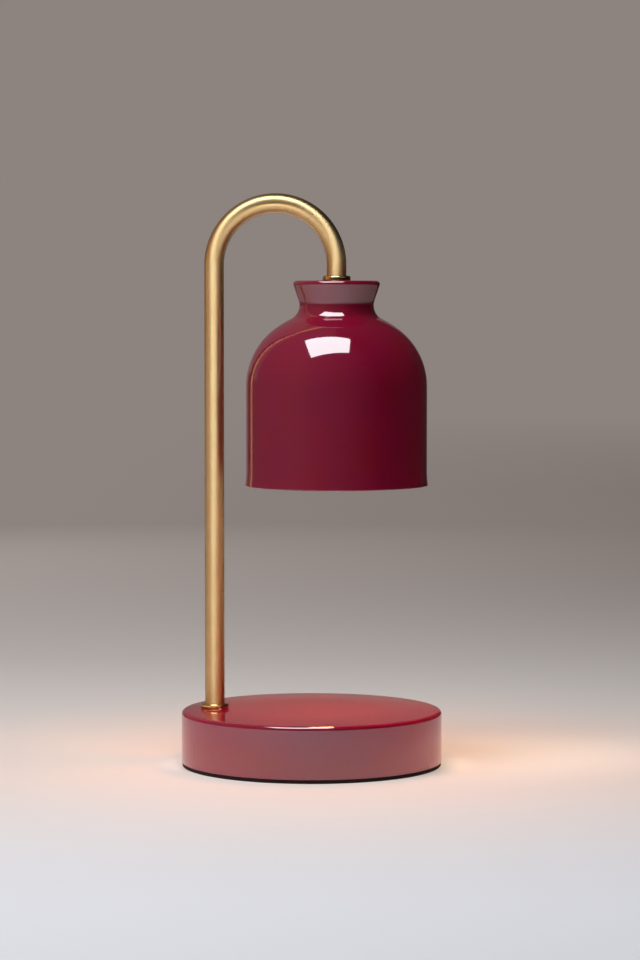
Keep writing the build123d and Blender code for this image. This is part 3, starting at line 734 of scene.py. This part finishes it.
# ---- Shade: the spun bell ----
# A bell spun from 1 mm steel, with a flared neck, a flat top and a rim that opens by 0.6 mm.
# It is powder coated inside and out in the base's colour, and the arm's nut clamps it by its flat top.
bell_r = 50.6
bell_wall = 1.0
bell_straight = 55.5
shoulder_r, shoulder_sweep = 40.0, 55.0
crown_r, crown_end = 64.0, 63.4
throat_r = 8.5
neck_flare = 19.0
neck_h = 10.9
neck_edge_r = 1.9
rim_out, rim_h = 0.6, 9.0
rim_edge_r = 0.49
shade_x = sum(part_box("shade_shell"), Vector()).x / 2 / mm


def on_circle(centre, radius, angle):
    """The point of a circle at an angle in degrees."""
    return centre[0] + radius * cos(radians(angle)), centre[1] + radius * sin(radians(angle))


def arc(centre, radius, start, end, steps):
    """Points along a circle between two angles."""
    return [on_circle(centre, radius, start + (end - start) * k / steps) for k in range(steps + 1)]


shoulder_c = (bell_r - shoulder_r, bell_straight)
crown_c = on_circle(shoulder_c, shoulder_r - crown_r, shoulder_sweep)
throat_c = on_circle(crown_c, crown_r + throat_r, crown_end)
bell_h = on_circle(throat_c, throat_r, 180 - neck_flare)[1] + neck_h


def bell_side(depth):
    """The bell's side from the rim to the top of the neck, at a depth inside its outer face."""
    curve_r = (rim_out**2 + rim_h**2) / (2 * rim_out)
    curve_turn = degrees(2 * atan(rim_out / rim_h))
    side = arc((bell_r - depth + curve_r, rim_h), curve_r, 180 + curve_turn, 180, 8)
    side += arc(shoulder_c, shoulder_r - depth, 0, shoulder_sweep, 40)
    side += arc(crown_c, crown_r - depth, shoulder_sweep, crown_end, 10)[1:]
    side += arc(throat_c, throat_r + depth, crown_end + 180, 180 - neck_flare, 28)[1:]
    rise = bell_h - depth - side[-1][1]
    return side + [(side[-1][0] + rise * tan(radians(neck_flare)), bell_h - depth)]


outside, inside = bell_side(0), bell_side(bell_wall)
outside[0] += (rim_edge_r,)
inside[0] += (rim_edge_r,)
outside[-1] += (neck_edge_r,)
inside[-1] += (neck_edge_r - bell_wall,)
bell_section = [(arm_hole_r, bell_h), *reversed(outside), *inside, (arm_hole_r, bell_h - bell_wall)]
bell = turned("spun_shade", softened(bell_section, steps=10), x=shade_x, steps=288)
bell.data.transform(Matrix.Translation((0, 0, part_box("shade_shell")[0].z)))
place(bell, enamel, "enamel", "root", "shade_shell")


# ---- Lampholder ----
# A GU10 lampholder: a porcelain body with two keyholes, and a porcelain lid over its two spring contacts.
# A zinc-plated strap hangs it under the shade's top, held by two M3 screws.
dress(zinc, "holder_bracket", "holder_screws")

# Unglazed steatite porcelain: warm white, dry and faintly speckled.
porcelain, tree, point = start_material("porcelain, unglazed steatite")
end_material(
    tree,
    {
        "Base Color": mottled(tree, point, 1.2, "#e9e4d8", "#dfd8c8", detail=3.0),
        "Roughness": 0.55,
        "IOR": 1.55,
        "Normal": relief(tree, point, 0.3, 0.01),
    },
)
dress(porcelain, "lamp_holder", "holder_cap")

# Machined brass: bright, with fine cutting marks.
machined_brass, tree, point = start_material("brass, machined")
end_material(
    tree,
    {
        "Base Color": mottled(tree, point, 2, "#d4b376", "#c09d5e"),
        "Metallic": 1.0,
        "Roughness": 0.28,
        "Normal": relief(tree, point, 0.15, 0.004),
    },
)
dress(machined_brass, "holder_contacts", "terminal_tubes")


# ---- Bulb: the reflector ----
# The GU10 bulb's pressed glass cup, aluminised inside. Its inner wall is pressed in flat facets, which
# spread the filament's light evenly over the candle.
cup_r = 25.3
cup_neck_r = 12.5
cup_wall = 1.4
cup_rim_h = 4.5
cup_bow = 3.4
cup_low, cup_high = (corner.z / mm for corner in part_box("bulb_reflector"))
facet_count = 24
facet_rows = 8
facet_crease = 3  # degrees
round_steps = 240

# Aluminised glass: a bright neutral mirror, slightly uneven where it was pressed.
aluminised, tree, point = start_material("glass, pressed and aluminised")
end_material(
    tree,
    {
        "Base Color": mottled(tree, point, 9, "#dadbde", "#cfd0d4"),
        "Metallic": 1.0,
        "Roughness": 0.12,
        "Normal": relief(tree, point, 3, 0.01),
    },
)


def cup_side(depth, steps):
    """The cup's bowed side from the rim up to the neck, at a depth inside the glass."""
    rim = Vector((cup_r - depth, cup_low + cup_rim_h))
    neck = Vector((cup_neck_r - depth, cup_high))
    chord = neck - rim
    bow_r = (chord.length**2 / 4 + cup_bow**2) / (2 * cup_bow)
    out = Vector((chord.y, -chord.x)).normalized()
    centre = (rim + neck) / 2 + out * (cup_bow - bow_r)
    return [centre + (rim - centre).slerp(neck - centre, k / steps) * bow_r for k in range(steps + 1)]


cup_outside = [*reversed(cup_side(0, 40)), Vector((cup_r, cup_low))]
cup_inside = [Vector((cup_r - cup_wall, cup_low)), *cup_side(cup_wall, facet_rows)]
cup = turned("reflector_cup", cup_outside + cup_inside, x=shade_x, steps=round_steps, crease=facet_crease)
first_facet = len(cup_outside) + 2  # the two rows at the rim stay round
for row in range(first_facet, len(cup_outside) + len(cup_inside)):
    for j in range(round_steps):
        spot = cup.data.vertices[row * round_steps + j]
        off_middle = (360 * j / round_steps) % (360 / facet_count) - 180 / facet_count
        inward = cos(pi / facet_count) / cos(radians(off_middle))
        spot.co.x = shade_x * mm + (spot.co.x - shade_x * mm) * inward
        spot.co.y *= inward
cup.data.set_sharp_from_angle(angle=radians(facet_crease))
place(cup, aluminised, "mirror_glass", "bulb", "bulb_reflector")


# ---- Bulb: the front glass ----
# A flat disc of clear glass cemented inside the cup's rim, which keeps fingers and wax off the capsule.
lens_r = 23.8
lens_edge_r = 0.3
lens_low, lens_high = (corner.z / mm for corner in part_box("bulb_lens"))

# Clear pressed glass: fully clear, with the slight ripple of the mould.
clear_glass, tree, point = start_material("glass, clear pressed")
end_material(
    tree,
    {
        "Base Color": mottled(tree, point, 20, "#fbfdfc", "#f7faf9"),
        "Roughness": 0.02,
        "IOR": 1.5,
        "Transmission Weight": 1.0,
        "Normal": relief(tree, point, 3.5, 0.02),
    },
)
lens_outline = [(0, lens_high), (lens_r, lens_high, lens_edge_r)]
lens_outline += [(lens_r, lens_low, lens_edge_r), (0, lens_low)]
lens = turned("front_glass", softened(lens_outline, steps=4), x=shade_x, steps=160)
place(lens, clear_glass, "clear_glass", "bulb", "bulb_lens")


# ---- Bulb: base, pins and capsule ----
# A ceramic base cemented in the cup's neck, with two headed pins that lock in the holder's keyholes.
# The quartz capsule is pinched shut in the base and reaches into the cup.
dress(porcelain, "bulb_base")

# Nickel-plated brass: a warm silver, smooth from the heading tool.
nickel, tree, point = start_material("brass, nickel plated")
end_material(
    tree,
    {
        "Base Color": mottled(tree, point, 1.5, "#c9c3b8", "#bbb5ab"),
        "Metallic": 1.0,
        "Roughness": 0.22,
        "Normal": relief(tree, point, 0.2, 0.003),
    },
)
dress(nickel, "bulb_pins")

# Quartz glass: clear and hard, drawn as a tube and a little wavy.
quartz, tree, point = start_material("quartz glass, clear")
end_material(
    tree,
    {
        "Base Color": mottled(tree, point, 6, "#fdfeff", "#f8fafb"),
        "Roughness": 0.01,
        "IOR": 1.46,
        "Transmission Weight": 1.0,
        "Normal": relief(tree, point, 2.5, 0.02),
    },
)
dress(quartz, "bulb_capsule")


# ---- Bulb: the filament ----
# Tungsten wire wound in a close coil across the capsule, on two straight posts that also feed it. It
# glows a warm white when the lamp is lit, as it is here.
coil_low, coil_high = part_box("bulb_filament")
coil_wire_r = 0.14
coil_turns = 14
coil_r = 0.84
coil_length = 5.4
coil_rise = 1.0  # from the bottom of the coil's box to its axis
post_r = 0.3
post_spread = 5.0
coil_crease = 50  # degrees

# Glowing tungsten: its own light covers the metal's grey.
tungsten, tree, point = start_material("tungsten wire, glowing")
end_material(
    tree,
    {
        "Base Color": mottled(tree, point, 1, "#8a8580", "#9a948e"),
        "Metallic": 1.0,
        "Roughness": 0.4,
        "Emission Color": linear("#ffc98a"),
        "Emission Strength": 14.0,
    },
)

# The tree winds the coil about X with round wire and stands a post at each end.
coil_inputs = ("Coil radius", "Coil length", "Turns", "Wire radius", "Post radius")
tree, values = start_tree("wind a filament", *coil_inputs)
wire = add(tree, "GeometryNodeCurvePrimitiveCircle", {"Resolution": 8, "Radius": values["Wire radius"]})
spiral = add(
    tree,
    "GeometryNodeCurveSpiral",
    {
        "Resolution": 20,
        "Rotations": values["Turns"],
        "Start Radius": values["Coil radius"],
        "End Radius": values["Coil radius"],
        "Height": values["Coil length"],
    },
)
coil = add(tree, "GeometryNodeCurveToMesh", {"Curve": spiral, "Profile Curve": wire, "Fill Caps": True})
half_length = add(tree, "ShaderNodeMath", {0: values["Coil length"], 1: -0.5}, operation="MULTIPLY")
laying = {"Rotation": (0, pi / 2, 0), "Translation": add(tree, "ShaderNodeCombineXYZ", {"X": half_length})}
laid = add(tree, "GeometryNodeTransform", {"Geometry": coil, **laying})
joined = add(tree, "GeometryNodeJoinGeometry", {0: laid})
post = add(tree, "GeometryNodeCurvePrimitiveCircle", {"Resolution": 12, "Radius": values["Post radius"]})
coil_height = coil_low.z + coil_rise * mm
for x in (-post_spread / 2 * mm, post_spread / 2 * mm):
    upright = {"Start": (x, 0, 0), "End": (x, 0, coil_high.z - coil_height)}
    line = add(tree, "GeometryNodeCurvePrimitiveLine", upright)
    stem = add(tree, "GeometryNodeCurveToMesh", {"Curve": line, "Profile Curve": post, "Fill Caps": True})
    tree.links.new(stem.outputs[0], joined.inputs[0])
end_tree(tree, joined, tungsten)
filament = bpy.data.objects.new("filament_coil", bpy.data.meshes.new("filament_coil"))
bpy.context.scene.collection.objects.link(filament)
coil_sizes = {
    "Coil radius": coil_r,
    "Coil length": coil_length,
    "Wire radius": coil_wire_r,
    "Post radius": post_r,
}
grow(filament, tree, {**{name: size * mm for name, size in coil_sizes.items()}, "Turns": coil_turns})
filament.data.transform(Matrix.Translation((shade_x * mm, 0, coil_height)))
filament.data.shade_smooth()
filament.data.set_sharp_from_angle(angle=radians(coil_crease))
place(filament, tungsten, "tungsten", "bulb", "bulb_filament")


# ---- The bulb's light ----
# Warm discs just under the front glass stand for the lit bulb, so that the glass needn't carry its light.
# Its mirror image is paler in the enamel than in the brass, and the paper takes less of it, so each has
# its own. The rest are the glow of the lit paper, the beam on the base, and the light on the paper.
bulb_disc = 60
bulb_disc_height, beam_height = cup_low - 0.4, cup_low - 0.5
low_light_out, low_light_up = 420, 60
low_light_size = (300, 120)
low_light_colour = "#ffd0b0"
spot_height = 200


def hold_strength(lamp):
    """Keep a lamp's light as strong far away as it is near."""
    lamp.use_nodes = True
    fall = add(lamp.node_tree, "ShaderNodeLightFalloff", {"Strength": 1.0})
    lamp.node_tree.links.new(fall.outputs["Constant"], lamp.node_tree.nodes["Emission"].inputs["Strength"])


enamel_pieces = group_of("enamel", pan, bell)
paper_alone = group_of("paper", floor)
all_but_paper = group_of("all but the paper", floor)
all_but_paper.collection_objects[0].light_linking.link_state = "EXCLUDE"
for name, power, colour, receivers, in_gloss in (
    ("bulb glow", 4.6, "#ff9030", all_but_paper, False),
    ("bulb on the paper", 3.3, "#ff9030", paper_alone, False),
    ("bulb in the brass", 4.6, "#ff9030", brass_pieces, True),
    ("bulb in the enamel", 2.6, "#ffe6cc", enamel_pieces, True),
):
    glow = bpy.data.lights.new(name, "AREA")
    glow.shape = "DISK"
    glow.size = bulb_disc * mm
    glow.energy, glow.color = power, linear(colour)[:3]
    hold_strength(glow)
    disc = bpy.data.objects.new(name, glow)
    disc.location = (shade_x * mm, 0, bulb_disc_height * mm)
    disc.visible_camera = False
    disc.visible_glossy, disc.visible_diffuse = in_gloss, not in_gloss
    disc.light_linking.receiver_collection = receivers
    bpy.context.scene.collection.objects.link(disc)

# The lit paper's own light on the pan's side, from the left and the right.
pan_alone = group_of("pan", pan)
for side, power in ((-1, 0.75), (1, 1.0)):
    centre, faces = (side * low_light_out, 0, low_light_up), (-side, 0, -0.05)
    low_light = hang_light(
        "low light", centre, faces, (0, 1, 0), low_light_size, power, low_light_colour, pan_alone
    )
    low_light.visible_glossy = False

# The spots shine straight down, on the pan or on the paper alone. Each has a place, a cone in degrees, the
# soft share of its edge, a radius, a power, a colour, and its stretch along the camera's line of sight.
for name, piece, centre, cone, soft_edge, radius, power, colour, stretch in (
    ("beam on the base", pan, (shade_x, 0, beam_height), 72, 0.7, 18, 2.8, "#ffa870", 1),
    ("spill on the paper", floor, (0, 60, spot_height), 130, 1.0, 30, 5.6, "#f6a840", 0.62),
    ("light on the right", floor, (92, 46, spot_height), 70, 1.0, 30, 10.5, "#f6f2d8", 0.8),
    ("light by the right end", floor, (78.4, 9.7, spot_height), 8, 1.0, 3, 11.5, "#ffd8af", 2.5),
    ("light by the left end", floor, (-76.5, -9.4, spot_height), 7, 1.0, 3, 8.5, "#ffd8c0", 2.5),
):
    beam = bpy.data.lights.new(name, "SPOT")
    beam.spot_size, beam.spot_blend, beam.shadow_soft_size = radians(cone), soft_edge, radius * mm
    beam.energy, beam.color = power, linear(colour)[:3]
    cast = bpy.data.objects.new(name, beam)
    cast.location = Vector(centre) * mm
    cast.scale.y = stretch
    cast.rotation_euler.z = camera_turn
    cast.visible_camera = False
    bpy.context.scene.collection.objects.link(cast)
    cast.light_linking.receiver_collection = group_of(name, piece)
    if piece == floor:
        hold_strength(beam)
        cast.light_linking.blocker_collection = cast.light_linking.receiver_collection


# ---- Wiring ----
# Two wires run from the terminal block in the base through the arm to the lampholder. Each is stranded
# copper in silicone rubber under a glass-fibre braid, which stands the heat beside the bulb.
braid_pitch, braid_depth = 1.2, 0.1

# Glass-fibre braid: off-white and dull, with a diamond pattern about a millimetre wide.
braid, tree, point = start_material("silicone wire, glass-fibre braid")
crossing = None
for lean in (1, -1):
    leant = {"Vector": point, "Angle": lean * pi / 4}
    across = add(tree, "ShaderNodeVectorRotate", leant, rotation_type="Y_AXIS")
    strands = add(tree, "ShaderNodeTexWave", {"Vector": across, "Scale": wave_scale(braid_pitch)})
    sockets = {"Height": strands, "Distance": braid_depth * mm, "Strength": 0.6}
    crossing = add(tree, "ShaderNodeBump", {**sockets, "Normal": crossing} if crossing else sockets)
braid_colour = mottled(tree, point, 1.5, "#ddd9cd", "#cfc9ba")
end_material(tree, {"Base Color": braid_colour, "Roughness": 0.8, "Normal": crossing})
dress(braid, "lead_live", "lead_neutral")

# Natural nylon: milky and faintly yellow, a little waxy.
natural_nylon, tree, point = start_material("nylon 66, natural")
end_material(
    tree,
    {
        "Base Color": mottled(tree, point, 6, "#e3ddca", "#d9d2bc"),
        "Roughness": 0.42,
        "Subsurface Weight": 0.2,
        "Subsurface Radius": (2 * mm, 1.6 * mm, 1 * mm),
        "Subsurface Scale": 1.0,
        "Normal": relief(tree, point, 0.4, 0.01),
    },
)
dress(natural_nylon, "terminal_block")
dress(zinc, "terminal_screws", "terminal_fixing_screw")


# ---- Cord bush ----
# A moulded nylon bush in the back of the base, with a nut inside. The cord enters through its rounded
# mouth, and ribs along its head give the fingers a grip.
bush_head_r, bush_tip_r = 6.5, 5.4
bush_head_l = 5.0
bush_shank_r = 4.9
bush_bore_r = 3.3
bush_mouth_r = 0.8
bush_flange, bush_flange_edge = 0.7, 0.2
bush_inner_y, bush_outer_y = (corner.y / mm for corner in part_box("inlet_bush"))
rib_count = 20
rib_r = 0.45
rib_sink = 0.45  # the head's own surface lies this far under the ribs' tops
rib_margin = 1.2  # from each end of the head

# Black nylon: a fine spark-eroded texture from the mould, half matt.
black_nylon, tree, point = start_material("nylon 66, black moulded")
end_material(
    tree,
    {
        "Base Color": mottled(tree, point, 4, "#131313", "#1a1a1a"),
        "Roughness": 0.48,
        "Normal": relief(tree, point, 0.25, 0.02),
    },
)
bush_length = bush_outer_y - bush_inner_y
head_start = bush_length - bush_head_l
bush_section = [
    (bush_bore_r, bush_length, bush_mouth_r),
    (bush_tip_r - rib_sink, bush_length, bush_mouth_r),
    (bush_head_r - rib_sink, head_start + bush_flange + bush_flange_edge),
    (bush_head_r, head_start + bush_flange, bush_flange_edge),
    (bush_head_r, head_start),
    (bush_shank_r, head_start),
    (bush_shank_r, 0),
    (bush_bore_r, 0),
]
bush = turned("cord_bush", softened(bush_section, steps=6), steps=120)

# The tree stands one rib at each step round the head, leaning in with its taper.
rib_inputs = ("Ribs", "Head radius", "Tip radius", "Rib length", "Rib radius", "Start")
tree, values = start_tree("rib a head", *rib_inputs)
work_out(
    tree,
    values,
    ("taper", "SUBTRACT", "Head radius", "Tip radius"),
    ("lean", "DIVIDE", "taper", "Rib length"),
    ("lean", "ARCTANGENT", "lean"),
    ("lean", "MULTIPLY", "lean", -1.0),
    ("foot", "SUBTRACT", "Head radius", "Rib radius"),
)
rib = add(tree, "GeometryNodeMeshUVSphere", {"Segments": 12, "Rings": 8, "Radius": values["Rib radius"]})
split = add(tree, "ShaderNodeSeparateXYZ", {0: add(tree, "GeometryNodeInputPosition")})
is_above = {0: split.outputs["Z"], 1: 0.0}
upper = add(tree, "FunctionNodeCompare", is_above, data_type="FLOAT", operation="GREATER_THAN")
stretch = add(tree, "ShaderNodeCombineXYZ", {"Z": values["Rib length"]})
rib = add(tree, "GeometryNodeSetPosition", {"Geometry": rib, "Selection": upper, "Offset": stretch})
lean = add(tree, "ShaderNodeCombineXYZ", {"Y": values["lean"]})
foot = add(tree, "ShaderNodeCombineXYZ", {"X": values["foot"]})
rib = add(tree, "GeometryNodeTransform", {"Geometry": rib, "Rotation": lean, "Translation": foot})
places = add(tree, "GeometryNodeMeshLine", {"Count": values["Ribs"], "Offset": (0, 0, 0)})
number = add(tree, "GeometryNodeInputIndex")
fraction = add(tree, "ShaderNodeMath", {0: number, 1: values["Ribs"]}, operation="DIVIDE")
turn = add(tree, "ShaderNodeMath", {0: fraction, 1: 2 * pi}, operation="MULTIPLY")
facing = add(tree, "ShaderNodeCombineXYZ", {"Z": turn})
standing = {"Points": places, "Instance": rib, "Rotation": facing}
ribs = add(tree, "GeometryNodeInstanceOnPoints", standing)
start = add(tree, "ShaderNodeCombineXYZ", {"Z": values["Start"]})
raised = add(tree, "GeometryNodeTransform", {"Geometry": ribs, "Translation": start})
both = add(tree, "GeometryNodeJoinGeometry", {0: values["Geometry"]})
tree.links.new(raised.outputs[0], both.inputs[0])
end_tree(tree, both, black_nylon)
rib_sizes = {
    "Head radius": bush_head_r,
    "Tip radius": bush_tip_r,
    "Rib length": bush_head_l - 2 * rib_margin,
    "Rib radius": rib_r,
    "Start": head_start + rib_margin,
}
grow(bush, tree, {**{name: size * mm for name, size in rib_sizes.items()}, "Ribs": rib_count})
bush.data.transform(shifted(0, bush_inner_y, inlet_height) @ to_the_back)
place(bush, black_nylon, "black_nylon", "root", "inlet_bush")
dress(black_nylon, "inlet_nut")
